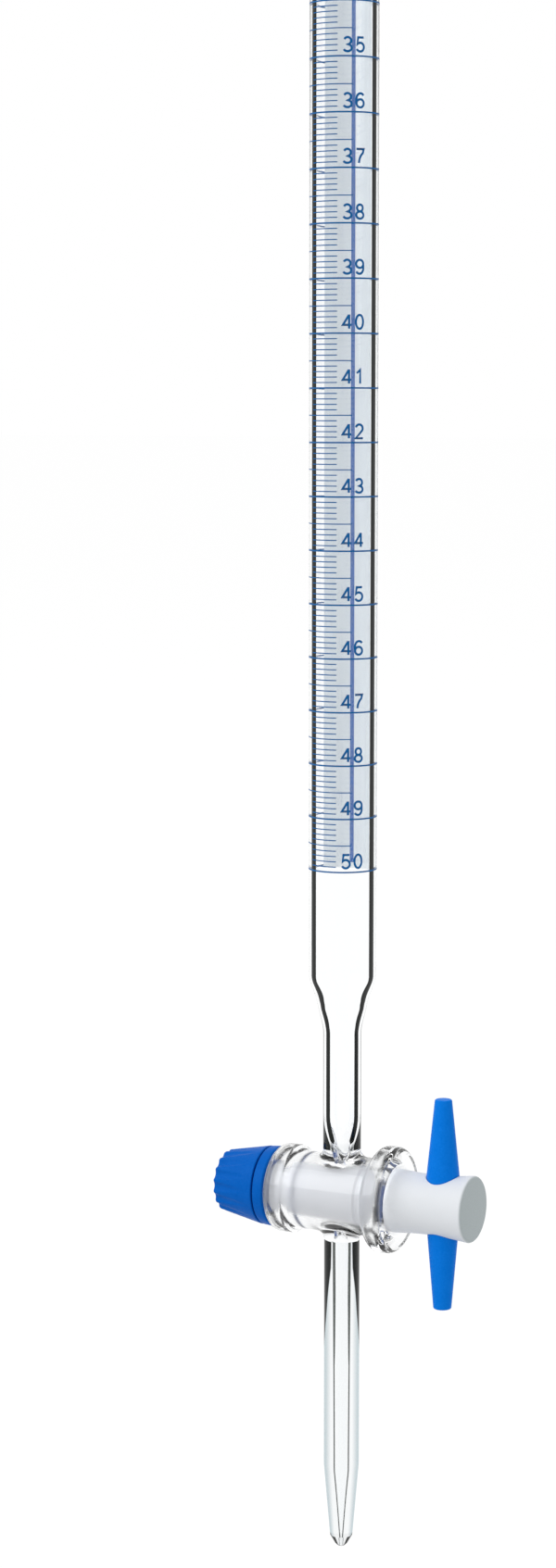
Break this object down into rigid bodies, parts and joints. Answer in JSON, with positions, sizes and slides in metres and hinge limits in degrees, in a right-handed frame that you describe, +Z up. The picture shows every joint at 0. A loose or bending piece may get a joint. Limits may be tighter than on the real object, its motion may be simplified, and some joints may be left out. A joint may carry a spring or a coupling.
{
  "type": "burette",
  "caption": "Graduated glass burette: long tube with a beaded rim, narrowed shoulder, stopcock with PTFE key, cross handle and fluted nut, and a tapered delivery jet.",
  "frame": {"origin": "on the tube's axis, where a burette clamp grips the plain glass between the rim and the scale", "axes": "+Z up along the tube towards its open rim, +X along the tap's axis towards the key's head, -Y roughly the side that carries the scale"},
  "size_m": [0.0553, 0.0212, 0.7783],
  "materials": {
    "glass": "clear, fire-polished",
    "ptfe": "satin, machined",
    "blue_plastic": "moulded, half gloss",
    "seal_rubber": "matt"
  },
  "bodies": {
    "burette": {"graduated_tube": "glass", "stopcock_barrel": "glass", "delivery_jet": "glass"},
    "tap": {"tap_plug": "ptfe", "tap_handle": "blue_plastic", "thrust_ring": "blue_plastic"},
    "seal": {"o_ring": "seal_rubber"},
    "nut": {"tap_nut": "blue_plastic"}
  },
  "joints": [
    {"name": "tap_turn", "type": "hinge", "parent": "burette", "child": "tap", "pos_m": [0, 0, -0.67228], "axis": [1, 0, 0], "continuous": true},
    {"name": "nut_travel", "type": "slide", "parent": "tap", "child": "seal", "axis": [-1, 0, 0], "range_m": [0, 0.006]},
    {"name": "nut_turn", "type": "hinge", "parent": "seal", "child": "nut", "pos_m": [-0.0169, 0, -0.67228], "axis": [-1, 0, 0], "range_deg": [0, 1440]}
  ],
  "couplings": [
    {"joint": "nut_turn", "follows": "nut_travel", "rad_per_m": 4188.8}
  ]
}
